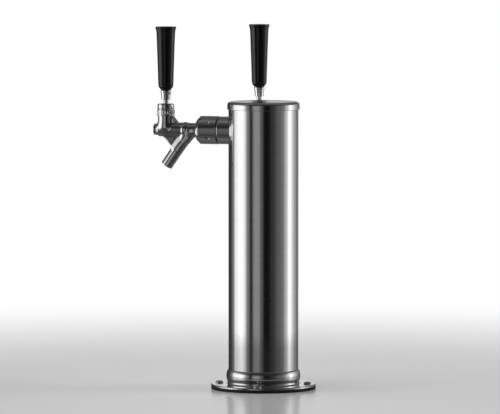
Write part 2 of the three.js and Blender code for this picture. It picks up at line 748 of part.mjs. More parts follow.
for (const [side, angle] of Object.entries(faucetTurns)) {
  const faucet = new THREE.Group();
  faucet.position.set(0, 0, SHANK_Z);
  faucet.rotation.z = angle;
  tower.add(faucet);
  const add = (name, geometry, material) => addTo(faucet, `${name}_${side}`, geometry, material);
  add('shank', shank(), stainless);
  add('shank_escutcheon', shankEscutcheon(), chrome);
  add('inner_washer', innerWasher(), nylon);
  add('shank_lock_nut', hexNut(LOCK_NUT_FLATS, SHANK_R + GAP, LOCK_NUT_X, LOCK_NUT_T, SMALL), brass);
  add('tail_piece', tailPiece(), stainless);
  add('coupling_nut', couplingNut(), chrome);
  add('coupling_washer', couplingWasher(), nylon);
  add('faucet_body', faucetBody(), chrome);
  add('valve_shaft', valveShaft(), stainless);
  add('seat_washer', seatWasher(), rubber);
  add('shaft_nut', shaftNut(), stainless);
  add('bonnet', bonnet(), chrome);
  add('friction_washer', frictionWasher(), nylon);
  add('ball_bushing', ballBushing(), nylon);
  add('lever', lever(), stainless);
  add('lever_collar', leverCollar(), chrome);
  add('tap_handle', tapHandle(), blackPlastic);
  add('handle_insert', handleInsert(), brass);
}

export default tower;
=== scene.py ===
"""Looks of a two-faucet beer tap tower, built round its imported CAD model.

Outlines and places inside a faucet are in millimetres, in the faucet's own frame: X runs outward
from the column's axis along the shank, Z is up, and the origin is on the column's axis at the
shank's height. Blender's own units stay metres.
"""
import json
import math

import bmesh
import bpy
import numpy as np
from mathutils import Matrix, Vector


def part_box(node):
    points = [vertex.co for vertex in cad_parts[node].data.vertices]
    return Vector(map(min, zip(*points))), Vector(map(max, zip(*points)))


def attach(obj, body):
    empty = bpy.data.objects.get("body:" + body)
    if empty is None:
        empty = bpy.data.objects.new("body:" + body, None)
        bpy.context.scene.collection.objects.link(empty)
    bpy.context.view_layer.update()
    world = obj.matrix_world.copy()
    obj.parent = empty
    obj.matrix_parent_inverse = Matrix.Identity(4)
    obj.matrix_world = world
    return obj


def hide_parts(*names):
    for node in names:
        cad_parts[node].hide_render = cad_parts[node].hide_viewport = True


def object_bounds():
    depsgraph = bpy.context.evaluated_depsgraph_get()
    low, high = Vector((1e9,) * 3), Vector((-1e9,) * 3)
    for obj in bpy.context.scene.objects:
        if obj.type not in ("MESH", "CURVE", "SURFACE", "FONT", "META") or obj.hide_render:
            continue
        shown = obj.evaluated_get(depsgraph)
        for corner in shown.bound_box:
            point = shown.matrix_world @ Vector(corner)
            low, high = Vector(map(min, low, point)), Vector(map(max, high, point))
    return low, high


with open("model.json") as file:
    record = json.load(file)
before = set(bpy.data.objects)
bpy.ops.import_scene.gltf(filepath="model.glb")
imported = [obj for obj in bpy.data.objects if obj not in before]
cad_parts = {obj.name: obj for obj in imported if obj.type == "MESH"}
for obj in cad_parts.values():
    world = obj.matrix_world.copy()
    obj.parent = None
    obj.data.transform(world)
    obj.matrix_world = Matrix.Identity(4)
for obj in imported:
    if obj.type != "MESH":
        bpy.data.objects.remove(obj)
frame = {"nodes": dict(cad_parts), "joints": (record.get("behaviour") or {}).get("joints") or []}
cad_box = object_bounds()

MM = 0.001
IMAGE_WIDTH, IMAGE_HEIGHT = 500, 414
SIDES = ("right", "left")

# Camera: where it stands round the tower, how far off and how high, and how much it takes in
CAMERA_AZIMUTH = 142.6
CAMERA_DISTANCE = 5.29
CAMERA_HEIGHT = 0.57
CAMERA_FILL = 0.87
SENSOR_WIDTH = 36.0

# Gap between pieces that touch
GAP = 0.3

# Sides of a turned surface, by its size
LARGE = 192
MEDIUM = 96
SMALL = 64


# ---- The frame's own sizes ----

joints = {joint["name"]: joint for joint in frame["joints"]}


def faucet_place(side):
    """Where a faucet's own frame stands in the tower's."""
    x, y, _ = joints[f"lever_tilt_{side}"]["pos_m"]
    low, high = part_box(f"shank_{side}")
    shank_z = (low.z + high.z) / 2
    return Matrix.Translation((0, 0, shank_z)) @ Matrix.Rotation(math.atan2(y, x), 4, "Z")


def node_points(node, place):
    """A CAD node's points in millimetres, in the frame of that place."""
    inverse = place.inverted()
    return np.array([inverse @ v.co for v in frame["nodes"][node].data.vertices]) / MM


def span(node, place=Matrix.Identity(4)):
    """A CAD node's lowest and highest corner, in the same way."""
    points = node_points(node, place)
    return Vector(points.min(0)), Vector(points.max(0))


places = {side: faucet_place(side) for side in SIDES}


def faucet_span(node):
    """The same for a faucet's piece, in the faucet's own frame. Both faucets are alike."""
    return span(f"{node}_right", places["right"])


LEVER_X = math.hypot(*joints["lever_tilt_right"]["pos_m"][:2]) / MM
BALL_Z = (joints["lever_tilt_right"]["pos_m"][2] - places["right"].translation.z) / MM

# The axes that pieces are turned round, and where each stands in X: Z, a shank's X, and the
# upright one through a lever
AXIS_X = {"Z": 0.0, "X": 0.0, "lever": LEVER_X}


def turned_size(node, axis="X"):
    """A faucet piece's greatest radius round its own axis, and its two ends along that axis."""
    x, y, z = node_points(f"{node}_right", places["right"]).T
    across, along = (np.hypot(y, z), x) if axis == "X" else (np.hypot(x - LEVER_X, y), z)
    return across.max(), along.min(), along.max()


# ---- Outlines ----

def arc_corner(before, corner, after, radius, steps):
    """Points of the arc that rounds one corner of an outline."""
    corner = np.array(corner, float)
    back, ahead = np.array(before, float) - corner, np.array(after, float) - corner
    lengths = np.linalg.norm([back, ahead], axis=1)
    back, ahead = back / lengths[0], ahead / lengths[1]
    angle = math.acos(max(-1, min(1, float(back @ ahead))))
    if angle > math.radians(178):
        return [tuple(corner)]
    reach = min(radius / math.tan(angle / 2), 0.49 * lengths.min())
    middle = (back + ahead) / np.linalg.norm(back + ahead)
    centre = corner + middle * reach * math.tan(angle / 2) / math.sin(angle / 2)
    start, end = corner + back * reach - centre, corner + ahead * reach - centre
    sweep = math.pi - angle
    parts = np.linspace(0, 1, steps + 1)[:, None]
    blend = np.sin((1 - parts) * sweep) * start + np.sin(parts * sweep) * end
    return [tuple(point) for point in centre + blend / math.sin(sweep)]


def rounded(corners, closed, steps):
    """An outline of (radius, height) points whose corners (radius, height, rounding) are arcs."""
    points = []
    for i, corner in enumerate(corners):
        at_end = not closed and i in (0, len(corners) - 1)
        if len(corner) < 3 or at_end:
            points.append(tuple(corner[:2]))
        else:
            before, after = corners[i - 1][:2], corners[(i + 1) % len(corners)][:2]
            points += arc_corner(before, corner[:2], after, corner[2], steps)
    return points


def ring(inner, outer, low, high, edge=0.3):
    """The closed outline of a plain ring with rounded edges."""
    return [(inner, low, edge), (outer, low, edge), (outer, high, edge), (inner, high, edge)]


def bezier(start, control, end, steps):
    """Points on a quadratic curve."""
    parts = np.linspace(0, 1, steps + 1)[:, None]
    start, control, end = (np.array(p, float) for p in (start, control, end))
    curve = (1 - parts) ** 2 * start + 2 * (1 - parts) * parts * control + parts ** 2 * end
    return [tuple(point) for point in curve]


# ---- Meshes ----

def add_object(name, data):
    """A new object in the scene that holds a mesh, a light or a camera."""
    made = bpy.data.objects.new(name, data)
    bpy.context.scene.collection.objects.link(made)
    return made


def new_object(name, vertices, faces):
    """An object made from places in metres and faces."""
    mesh = bpy.data.meshes.new(name)
    mesh.from_pydata([tuple(v) for v in vertices], [], faces)
    mesh.validate()
    return add_object(name, mesh)


def skin(rows, closed):
    """Faces between rows of points. A row of one point is a tip."""
    faces = []
    for low, high in zip(rows, rows[1:] + rows[:1] if closed else rows[1:]):
        count = max(len(low), len(high))
        for i in range(count):
            j = (i + 1) % count
            corners = [low[i % len(low)], low[j % len(low)], high[j % len(high)], high[i % len(high)]]
            face = list(dict.fromkeys(corners))
            if len(face) > 2:
                faces.append(face)
    return faces


def lathe(name, corners, segments, axis="Z", ripple=None, steps=5, closed=None):
    """Rounds an outline's corners and turns it round an axis into a new object.

    An outline that starts on the axis is open, unless closed tells otherwise.
    ripple(radius, height, angle) may move a point in or out.
    """
    closed = corners[0][0] > 0 if closed is None else closed
    vertices = []
    rows = []
    for radius, height in rounded(corners, closed, steps):
        if radius < 1e-6:
            rows.append([len(vertices)])
            vertices.append((0.0, 0.0, height))
            continue
        rows.append(list(range(len(vertices), len(vertices) + segments)))
        for i in range(segments):
            angle = 2 * math.pi * i / segments
            out = radius + (ripple(radius, height, angle) if ripple else 0.0)
            vertices.append((out * math.cos(angle), out * math.sin(angle), height))
    points = np.array(vertices)
    if axis == "X":
        points = points[:, [2, 0, 1]]
    points[:, 0] += AXIS_X[axis]
    piece = new_object(name, points * MM, skin(rows, closed))
    clean_up(piece)
    return piece


def rod(name, radius, low, high, axis="Z", segments=SMALL):
    """A plain rod, as a cutting tool."""
    return lathe(name, [(0, low), (radius, low), (radius, high), (0, high)], segments, axis)


def clean_up(piece):
    """Merges points that lie on top of each other, and turns every face outward."""
    shape = bmesh.new()
    shape.from_mesh(piece.data)
    bmesh.ops.remove_doubles(shape, verts=shape.verts, dist=1e-6)
    bmesh.ops.recalc_face_normals(shape, faces=shape.faces)
    shape.to_mesh(piece.data)
    shape.free()


def apply_modifiers(piece):
    """Replaces a piece's mesh with the one that its modifiers make."""
    graph = bpy.context.evaluated_depsgraph_get()
    made = bpy.data.meshes.new_from_object(piece.evaluated_get(graph))
    piece.modifiers.clear()
    old = piece.data
    piece.data = made
    bpy.data.meshes.remove(old)


def boolean(piece, tools, operation="DIFFERENCE"):
    """Cuts the tools from a piece, or keeps only what is inside them, and deletes them."""
    for tool in tools:
        cut = piece.modifiers.new("cut", "BOOLEAN")
        cut.operation = operation
        cut.solver = "EXACT"
        cut.object = tool
    apply_modifiers(piece)
    clean_up(piece)
    for tool in tools:
        bpy.data.objects.remove(tool)


def smooth(piece, angle=32):
    """Smooth shading, with sharp edges where faces turn by more than this, in degrees."""
    piece.data.shade_smooth()
    piece.data.set_sharp_from_angle(angle=math.radians(angle))
    weigh = piece.modifiers.new("weigh", "WEIGHTED_NORMAL")
    weigh.keep_sharp = True
    weigh.weight = 100
    apply_modifiers(piece)


def smooth_round(piece, axis="Z"):
    """Smooth shading, with exact normals on the faces of a cylinder round Z or X."""
    smooth(piece)
    mesh = piece.data
    along = 0 if axis == "X" else 2
    across = Vector((0, 1, 1) if axis == "X" else (1, 1, 0))
    normals = [Vector(normal.vector) for normal in mesh.corner_normals]
    for face in mesh.polygons:
        side = face.normal.dot((face.center * across).normalized())
        if abs(face.normal[along]) > 0.02 or abs(side) < 0.99:
            continue
        for corner in face.loop_indices:
            spot = mesh.vertices[mesh.loops[corner].vertex_index].co
            spoke = (spot * across).normalized()
            normals[corner] = spoke if side > 0 else -spoke
    mesh.normals_split_custom_set(normals)


def settle(piece, node, material, body="tower"):
    """Lets a finished piece stand for its CAD node."""
    piece.data.materials.clear()
    piece.data.materials.append(material)
    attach(piece, body)
    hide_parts(node)


def place_copy(piece, name, place):
    """A copy of a piece, set down elsewhere."""
    twin = piece.copy()
    twin.name = name
    bpy.context.scene.collection.objects.link(twin)
    twin.matrix_world = place
    return twin


def settle_pair(piece, node, material, body="tower"):
    """Puts a piece made in a faucet's own frame on both faucets. {side} in body stands for each."""
    for side in SIDES:
        twin = place_copy(piece, f"{piece.name}_{side}", places[side])
        settle(twin, f"{node}_{side}", material, body.format(side=side))
    bpy.data.objects.remove(piece)


# ---- Solids from distances, for the cast faucet body ----

def join_soft(first, second, reach):
    """Distance to two solids joined with a fillet."""
    part = np.clip(0.5 + 0.5 * (second - first) / reach, 0, 1)
    return second * (1 - part) + first * part - reach * part * (1 - part)


def cut_soft(solid, tool, reach=0.5):
    """Distance to a solid with a tool cut away, its new edges slightly broken."""
    return -join_soft(-solid, tool, reach)


def rod_distance(across, along, radius, low, high, edge):
    """Distance to a rod with rounded ends, from places across and along its axis."""
    side = across - (radius - edge)
    end = np.abs(along - (low + high) / 2) - ((high - low) / 2 - edge)
    outside = np.hypot(np.maximum(side, 0), np.maximum(end, 0))
    return outside + np.minimum(np.maximum(side, end), 0) - edge


def route_distance(points, route):
    """Distance to a line through several points."""
    nearest = np.full(len(points), 1e9)
    for start, end in zip(route[:-1], route[1:]):
        along = end - start
        part = np.clip((points - start) @ along / (along @ along), 0, 1)
        nearest = np.minimum(nearest, np.linalg.norm(points - start - part[:, None] * along, axis=1))
    return nearest


def plate_distance(points, corners, half_thickness, edge):
    """Distance to a plate in the X-Z plane with this outline, a convex one, its edges rounded."""
    flat = points[:, [0, 2]]
    corners = np.array(corners, float)
    middle = corners.mean(0)
    inside = np.full(len(points), -1e9)
    for start, end in zip(corners, np.roll(corners, -1, axis=0)):
        along = (end - start) / np.linalg.norm(end - start)
        out = np.array([along[1], -along[0]])
        out *= -np.sign(out @ (middle - start))
        inside = np.maximum(inside, (flat - start) @ out)
    thickness = np.abs(points[:, 1]) - half_thickness
    return -join_soft(-inside, -thickness, edge)


def surface_net(distance, low, high, step):
    """A mesh of quads over the zero level of a distance function, with its vertex normals."""
    axes = [np.arange(start, end + step, step) for start, end in zip(low, high)]
    grid = np.stack(np.meshgrid(*axes, indexing="ij"), axis=-1)
    values = distance(grid.reshape(-1, 3)).reshape(grid.shape[:3])
    units = np.eye(3, dtype=int)
    crossings, quads = [], []
    for axis in range(3):
        ahead, one, two = units[axis], units[axis - 2], units[axis - 1]
        spots = np.argwhere(np.diff(values < 0, axis=axis))
        start, end = values[tuple(spots.T)], values[tuple((spots + ahead).T)]
        crossings.append(spots + (start / (start - end))[:, None] * ahead)
        cells = np.stack([spots - one - two, spots - two, spots, spots - one], axis=1)
        cells[start >= 0] = cells[start >= 0][:, ::-1]
        quads.append(cells)
    cells, corners = np.unique(np.concatenate(quads).reshape(-1, 3), axis=0, return_inverse=True)
    corners = corners.ravel()
    total = np.zeros(cells.shape)
    np.add.at(total, corners, np.repeat(np.concatenate(crossings), 4, axis=0))
    points = np.array(low) + step * total / np.bincount(corners)[:, None]
    limit = 0.5 * step
    for _ in range(3):
        slope = gradient(distance, points)
        move = distance(points)[:, None] * slope / (slope ** 2).sum(1, keepdims=True)
        points = points - np.clip(move, -limit, limit)
    normals = gradient(distance, points)
    normals /= np.linalg.norm(normals, axis=1, keepdims=True)
    return points, corners.reshape(-1, 4), normals


def gradient(distance, points):
    """Slope of a distance function at some places."""
    reach = 0.05
    slope = np.empty_like(points)
    for axis in range(3):
        shift = np.zeros(3)
        shift[axis] = reach
        slope[:, axis] = (distance(points + shift) - distance(points - shift)) / (2 * reach)
    return slope


# ---- Material nodes ----

def connect(tree, node, inputs):
    """Joins each of a node's named inputs to a socket, or sets it to a value."""
    for key, value in inputs.items():
        if isinstance(value, bpy.types.NodeSocket):
            tree.links.new(value, node.inputs[key])
        else:
            node.inputs[key].default_value = value


def add_node(tree, kind, inputs=None, **settings):
    """Adds a shader node, sets it, and joins or sets its inputs."""
    made = tree.nodes.new("ShaderNode" + kind)
    for key, value in settings.items():
        setattr(made, key, value)
    connect(tree, made, inputs or {})
    return made


def maths(tree, operation, first, second=0.0, third=0.0):
    made = add_node(tree, "Math", {0: first, 1: second, 2: third}, operation=operation)
    return made.outputs[0]


def remap(tree, value, from_low, from_high, to_low=0.0, to_high=1.0):
    """Maps one range smoothly on another and holds its ends."""
    inputs = dict(enumerate((value, from_low, from_high, to_low, to_high)))
    made = add_node(tree, "MapRange", inputs, interpolation_type="SMOOTHSTEP")
    return made.outputs["Result"]


def noise(tree, where, scale, detail, roughness=0.55):
    inputs = {"Vector": where, "Scale": scale, "Detail": detail, "Roughness": roughness}
    return add_node(tree, "TexNoise", inputs).outputs["Fac"]


def add_up(tree, total, *layers):
    """A value with others added to it, each as (value, weight)."""
    for value, weight in layers:
        total = maths(tree, "MULTIPLY_ADD", value, weight, total)
    return total


def split(tree, vector):
    """The three parts of a vector."""
    return list(add_node(tree, "SeparateXYZ", {0: vector}).outputs)


def mix_colour(tree, part, first, second):
    made = add_node(tree, "Mix", {0: part, 6: first, 7: second}, data_type="RGBA")
    return made.outputs[2]


def mix_shader(tree, part, first, second):
    return add_node(tree, "MixShader", {0: part, 1: first, 2: second}).outputs[0]


def grey(level):
    return (level, level, level, 1.0)


def new_material(name):
    """A material with its node tree and its piece coordinates."""
    material = bpy.data.materials.new(name)
    material.use_nodes = True
    tree = material.node_tree
    return material, tree, add_node(tree, "TexCoord").outputs["Object"]


def dress(tree, inputs, *bumps):
    """Sets the main shader's inputs and adds bump maps, each as (height, strength, depth)."""
    normal = {}
    for height, strength, depth in bumps:
        bump = {"Height": height, "Strength": strength, "Distance": depth, **normal}
        normal = {"Normal": add_node(tree, "Bump", bump).outputs["Normal"]}
    connect(tree, tree.nodes["Principled BSDF"], {**inputs, **normal})


def turned_coordinates(tree, where, axis, squeeze=1.0):
    """Coordinates in which noise is drawn out round an axis: along it, off it, and a little round it."""
    x, y, z = split(tree, where)
    if axis == "X":
        along, one, two = x, y, z
    else:
        along, one, two = z, maths(tree, "SUBTRACT", x, AXIS_X[axis] * MM), y
    radius = maths(tree, "SQRT", maths(tree, "ADD", maths(tree, "MULTIPLY", one, one),
                                       maths(tree, "MULTIPLY", two, two)))
    turn = maths(tree, "MULTIPLY", maths(tree, "ARCTAN2", two, one), squeeze * MM)
    return add_node(tree, "CombineXYZ", {0: turn, 1: radius, 2: along}).outputs[0]


def scratches(tree, where, scale):
    """A mask of thin wandering scratches."""
    waves = add_node(tree, "TexNoise", {"Vector": where, "Scale": scale * 0.3}).outputs["Color"]
    bent = add_node(tree, "Mix", {0: 0.04, 4: where, 5: waves}, data_type="VECTOR").outputs[1]
    cells = add_node(tree, "TexVoronoi", {"Vector": bent, "Scale": scale},
                     feature="DISTANCE_TO_EDGE")
    return remap(tree, cells.outputs["Distance"], 0.0, 0.012, 1.0, 0.0)


def metal(name, colour, rough, lines, line_scale, axis="Z", wear=0.05, tint=None, satin_top=0.0):
    """A metal with fine turning or polishing lines round an axis, faint smears and scratches.

    satin_top is added to the roughness of what faces straight up.
    """
    material, tree, where = new_material(name)
    round_axis = turned_coordinates(tree, where, axis)
    fine = noise(tree, round_axis, line_scale, 2.0)
    broad = noise(tree, round_axis, line_scale / 14, 3.0)
    smears = noise(tree, where, 38.0, 5.0, 0.62)
    specks = noise(tree, where, 900.0, 2.0)
    scratch = scratches(tree, where, 160.0)
    darker = tuple(c * 0.94 for c in (tint or colour))
    patches = maths(tree, "MULTIPLY_ADD", broad, 0.5, maths(tree, "MULTIPLY", smears, 0.5))
    toned = mix_colour(tree, remap(tree, patches, 0.35, 0.7), (*darker, 1), (*colour, 1))
    smeared = remap(tree, smears, 0.42, 0.72, rough, rough + wear)
    normal = add_node(tree, "NewGeometry").outputs["Normal"]
    facing_up = remap(tree, split(tree, normal)[2], 0.93, 0.99, 0.0, satin_top)
    roughness = add_up(tree, smeared, (fine, lines * 0.12), (specks, 0.02), (scratch, 0.1),
                       (facing_up, 1.0))
    dress(tree, {"Base Color": toned, "Roughness": roughness, "Metallic": 1.0},
          (fine, lines, 0.000012), (broad, 0.5 * lines, 0.00002), (scratch, 0.12, 0.00001))
    return material


def chrome_metal(name):
    """Plated metal: nearly a mirror, slightly wavy, with wiping marks and pinpoint pits."""
    material, tree, where = new_material(name)
    waves = noise(tree, where, 110.0, 2.0)
    smears = noise(tree, where, 60.0, 6.0, 0.65)
    pits = noise(tree, where, 2600.0, 2.0)
    scratch = scratches(tree, where, 210.0)
    toned = mix_colour(tree, remap(tree, smears, 0.3, 0.7), (0.62, 0.625, 0.635, 1),
                       (0.70, 0.70, 0.705, 1))
    roughness = add_up(tree, remap(tree, smears, 0.45, 0.75, 0.025, 0.09), (scratch, 0.12))
    dress(tree, {"Base Color": toned, "Roughness": roughness, "Metallic": 1.0},
          (waves, 0.25, 0.00006), (pits, 0.06, 0.00001), (scratch, 0.15, 0.00001))
    return material


def gloss_black(name):
    """Moulded black plastic: glossy, with flow marks, hairline scratches and a rubbed rim."""
    material, tree, where = new_material(name)
    height = split(tree, where)[2]
    flow = noise(tree, turned_coordinates(tree, where, "lever", 9.0), 320.0, 3.0)
    grain = noise(tree, where, 1500.0, 3.0)
    smears = noise(tree, where, 70.0, 5.0, 0.6)
    scratch = scratches(tree, where, 120.0)
    top = faucet_span("tap_handle")[1].z * MM
    rim = remap(tree, height, top - 3 * MM, top - 0.5 * MM)
    rubbed = maths(tree, "MULTIPLY", rim, remap(tree, smears, 0.45, 0.65))
    toned = mix_colour(tree, smears, (0.0025, 0.0025, 0.0027, 1), (0.006, 0.006, 0.0064, 1))
    worn = mix_colour(tree, maths(tree, "MULTIPLY", rubbed, 0.5), toned, (0.03, 0.03, 0.031, 1))
    smeared = remap(tree, smears, 0.4, 0.75, 0.09, 0.2)
    roughness = add_up(tree, smeared, (scratch, 0.15), (rubbed, 0.15))
    dress(tree, {"Base Color": worn, "Roughness": roughness, "Specular IOR Level": 0.38},
          (grain, 0.12, 0.00001), (flow, 0.2, 0.00002), (scratch, 0.2, 0.00001))
    return material


def soft_plastic(name, light, dark, rough, grain_scale, grain_depth):
    """A matt moulded or rubbery stuff: mottled colour, grain and varied gloss."""
    material, tree, where = new_material(name)
    grain = noise(tree, where, grain_scale, 4.0, 0.6)
    mottle = noise(tree, where, 65.0, 4.0, 0.6)
    dust = noise(tree, where, grain_scale * 0.35, 3.0)
    toned = mix_colour(tree, remap(tree, mottle, 0.3, 0.7), (*dark, 1), (*light, 1))
    dusted = mix_colour(tree, remap(tree, dust, 0.58, 0.75, 0.0, 0.25), toned,
                        (*(min(1, c * 1.6 + 0.02) for c in light), 1))
    roughness = remap(tree, mottle, 0.3, 0.7, rough, min(1, rough + 0.15))
    dress(tree, {"Base Color": dusted, "Roughness": roughness}, (grain, 0.4, grain_depth))
    return material


def foam_material(name):
    """Cream closed-cell foam with its cut cells, their hollows darkened with painted shade."""
    material, tree, where = new_material(name)
    cells = add_node(tree, "TexVoronoi", {"Vector": where, "Scale": 1100.0})
    broad = noise(tree, where, 40.0, 4.0)
    toned = mix_colour(tree, broad, (0.62, 0.55, 0.37, 1), (0.76, 0.70, 0.52, 1))
    # Painted shade: the hollows of the cut cells are darker.
    cells_painted_shade = mix_colour(tree, remap(tree, cells.outputs["Distance"], 0.0, 0.35, 0.45, 0.0), toned,
                        (0.42, 0.36, 0.22, 1))
    roughness = remap(tree, broad, 0.3, 0.7, 0.82, 0.95)
    dress(tree, {"Base Color": cells_painted_shade, "Roughness": roughness},
          (cells.outputs["Distance"], 0.7, 0.0003))
    return material


STEEL = (0.66, 0.66, 0.655)
DULL_STEEL = (0.55, 0.55, 0.545)
ZINC = (0.86, 0.865, 0.87)
BRASS = (0.60, 0.42, 0.19)
DARK_BRASS = (0.52, 0.33, 0.13)

column_steel = metal("column_steel", STEEL, 0.04, 0.06, 2600.0, wear=0.04)
cap_steel = metal("cap_steel", STEEL, 0.05, 0.1, 2600.0, satin_top=0.2)
base_steel = metal("base_steel", STEEL, 0.06, 0.1, 2200.0, wear=0.06)
screw_steel = metal("screw_steel", ZINC, 0.3, 0.3, 3000.0, wear=0.1)
faucet_steel = metal("faucet_steel", DULL_STEEL, 0.16, 0.5, 2400.0, "X")
lever_steel = metal("lever_steel", STEEL, 0.1, 0.3, 3000.0, "lever")
faucet_brass = metal("faucet_brass", BRASS, 0.22, 0.6, 1800.0, "X", tint=DARK_BRASS)
insert_brass = metal("insert_brass", BRASS, 0.25, 0.6, 1800.0, "lever", tint=DARK_BRASS)
chrome = chrome_metal("chrome_plate")
handle_black = gloss_black("handle_black")
black_rubber = soft_plastic("black_rubber", (0.018, 0.018, 0.018), (0.009, 0.009, 0.009), 0.6,
                            1400.0, 0.00006)
white_nylon = soft_plastic("white_nylon", (0.78, 0.76, 0.69), (0.66, 0.63, 0.55), 0.42, 900.0,
                           0.00003)
cream_foam = foam_material("cream_foam")


# ---- Base ----

gasket_top = span("base_gasket")[1]
flange_top = span("base_flange")[1]
column_low, column_top = span("column_tube")
cap_low, cap_top = span("top_cap")
screw_spots = [sum(span(f"mounting_screw_{i + 1}"), Vector()) / 2 for i in range(4)]
PASSAGE_R = 28.0
FLANGE_T = 2.3
PLATE_TOP = gasket_top.z + FLANGE_T
SOCKET_R = column_top.x + 0.15
COLLAR_R = 40.4
COLLAR_NECK_R = 39.2
SCREW_HOLE_R = 2.8


def screw_holes():
    tools = []
    for spot in screw_spots:
        tool = rod("screw_hole", SCREW_HOLE_R, -2, PLATE_TOP + 4)
        tool.location = (spot.x * MM, spot.y * MM, 0)
        tools.append(tool)
    return tools


def make_gasket():
    corners = ring(PASSAGE_R, gasket_top.x, 0, gasket_top.z, 0.4)
    piece = lathe("fine_gasket", corners, LARGE)
    boolean(piece, screw_holes())
    smooth_round(piece)
    settle(piece, "base_gasket", black_rubber)


def make_flange():
    """The flange, with a bulging collar that stands on it round the column's foot."""
    top = flange_top.z
    bulge_low, bulge_high = PLATE_TOP + 2.4, top - 0.7
    bulge = bezier((COLLAR_NECK_R, bulge_low),
                   (2 * COLLAR_R - COLLAR_NECK_R, (bulge_low + bulge_high) / 2),
                   (COLLAR_NECK_R, bulge_high), 20)
    corners = [
        (PASSAGE_R, gasket_top.z, 0.3), (flange_top.x, gasket_top.z, 0.3),
        (flange_top.x, PLATE_TOP, 1.0), (COLLAR_NECK_R + 0.2, PLATE_TOP, 2.4), *bulge,
        (SOCKET_R + GAP, top, 0.4), (SOCKET_R, top), (SOCKET_R, PLATE_TOP),
        (PASSAGE_R, PLATE_TOP, 0.3),
    ]
    piece = lathe("fine_flange", corners, LARGE)
    boolean(piece, screw_holes())
    smooth_round(piece)
    settle(piece, "base_flange", base_steel)


def box_tool(name, size, centre, turn=0.0):
    """A plain block, as a cutting tool."""
    shape = bmesh.new()
    bmesh.ops.create_cube(shape, size=MM)
    bmesh.ops.scale(shape, vec=size, verts=shape.verts)
    mesh = bpy.data.meshes.new(name)
    shape.to_mesh(mesh)
    shape.free()
    tool = add_object(name, mesh)
    shift = Matrix.Translation(Vector(centre) * MM)
    tool.matrix_world = Matrix.Rotation(turn, 4, "Z") @ shift
    return tool


def make_screws():
    """Pan-head screws with a cross recess, each left at a turn of its own."""
    low, high = span("mounting_screw_1")
    head_r = (high.x - low.x) / 2
    shank_r = 2.4
    crown = bezier((head_r, PLATE_TOP + 1.0), (head_r - 0.5, high.z), (0, high.z), 10)
    corners = [(0, low.z), (shank_r, low.z, 0.3), (shank_r, PLATE_TOP + 0.05, 0.1),
               (head_r - 0.1, PLATE_TOP + 0.05, 0.15), *crown]
    master = lathe("screw_master", corners, SMALL)
    slots = [box_tool("slot", (4.2, 1.0, 2.6), (0, 0, high.z), turn) for turn in (0, math.pi / 2)]
    slots.append(rod("slot_middle", 1.0, high.z - 1.6, high.z + 1, segments=16))
    boolean(master, slots)
    smooth(master, 30)
    for i, spot in enumerate(screw_spots):
        place = Matrix.Translation((spot.x * MM, spot.y * MM, 0))
        turn = Matrix.Rotation(0.35 + 0.9 * i, 4, "Z")
        piece = place_copy(master, f"fine_screw_{i + 1}", place @ turn)
        settle(piece, f"mounting_screw_{i + 1}", screw_steel)
    bpy.data.objects.remove(master)


# ---- Column ----

WALL = 1.5
SHANK_HOLE_R = 11.4
CAP_T = 1.7
CAP_SKIRT_H = 9.0
CAP_EDGE_R = 3.8
SPIGOT_R = 32.0
SLEEVE_BORE_R = 27.0


def make_column():
    corners = ring(column_top.x - WALL, column_top.x, column_low.z, column_top.z)
    piece = lathe("fine_column", corners, LARGE, steps=3)
    holes = []
    for side in SIDES:
        tool = rod("shank_hole", SHANK_HOLE_R, 20, 60, "X")
        tool.matrix_world = places[side]
        holes.append(tool)
    boolean(piece, holes)
    smooth_round(piece)
    settle(piece, "column_tube", column_steel)


def make_cap():
    """A shallow cap, crowned a little, with a rolled lip."""
    crown = 0.35
    ceiling = cap_top.z - CAP_T
    corners = [
        (0, ceiling), (SPIGOT_R - CAP_T, ceiling, 0.6), (SPIGOT_R - CAP_T, cap_low.z, 0.4),
        (SPIGOT_R, cap_low.z, 0.4), (SPIGOT_R, ceiling - GAP, 0.4), (SOCKET_R, ceiling - GAP, 0.3),
        (SOCKET_R, cap_top.z - CAP_SKIRT_H, 0.4), (cap_top.x, cap_top.z - CAP_SKIRT_H, 0.5),
        (cap_top.x, cap_top.z - crown, CAP_EDGE_R), (cap_top.x * 0.5, cap_top.z - crown * 0.3, 20),
        (0, cap_top.z),
    ]
    piece = lathe("fine_cap", corners, LARGE, steps=8)
    smooth_round(piece)
    settle(piece, "top_cap", cap_steel)


def make_linings():
    """The cap's seal and the foam sleeve, inside the column."""
    for name, node, inner_r, edge, slot, material in (
        ("fine_cap_seal", "cap_seal", SPIGOT_R + 0.2, 0.4, "rubber", black_rubber),
        ("fine_sleeve", "insulation_sleeve", SLEEVE_BORE_R, 0.8, "foam", cream_foam),
    ):
        low, high = span(node)
        piece = lathe(name, ring(inner_r, high.x, low.z, high.z, edge), MEDIUM)
        smooth_round(piece)
        settle(piece, node, material)


# ---- Shank and its fastenings ----

def threaded(start, end, pitch, depth, stretch):
    """A ripple that cuts a thread between two places along a piece."""
    def ripple(radius, height, angle):
        if not start < height < end or radius < stretch:
            return 0.0
        fade = min(1.0, (height - start) / pitch, (end - height) / pitch)
        part = (height / pitch + angle / (2 * math.pi)) % 1.0
        return -depth * fade * (1 - abs(2 * part - 1))
    return ripple


def long_run(radius, low, high, step):
    """Points along a straight wall, close enough together to carry a thread."""
    count = max(1, round((high - low) / step))
    return [(radius, low + (high - low) * i / count) for i in range(count + 1)]


SHANK_R = 11.1
SHANK_STEP_X = 50.3
SHANK_BORE_R = 4.0
THREAD_PITCH = 1.8
THREAD_DEPTH = 0.7


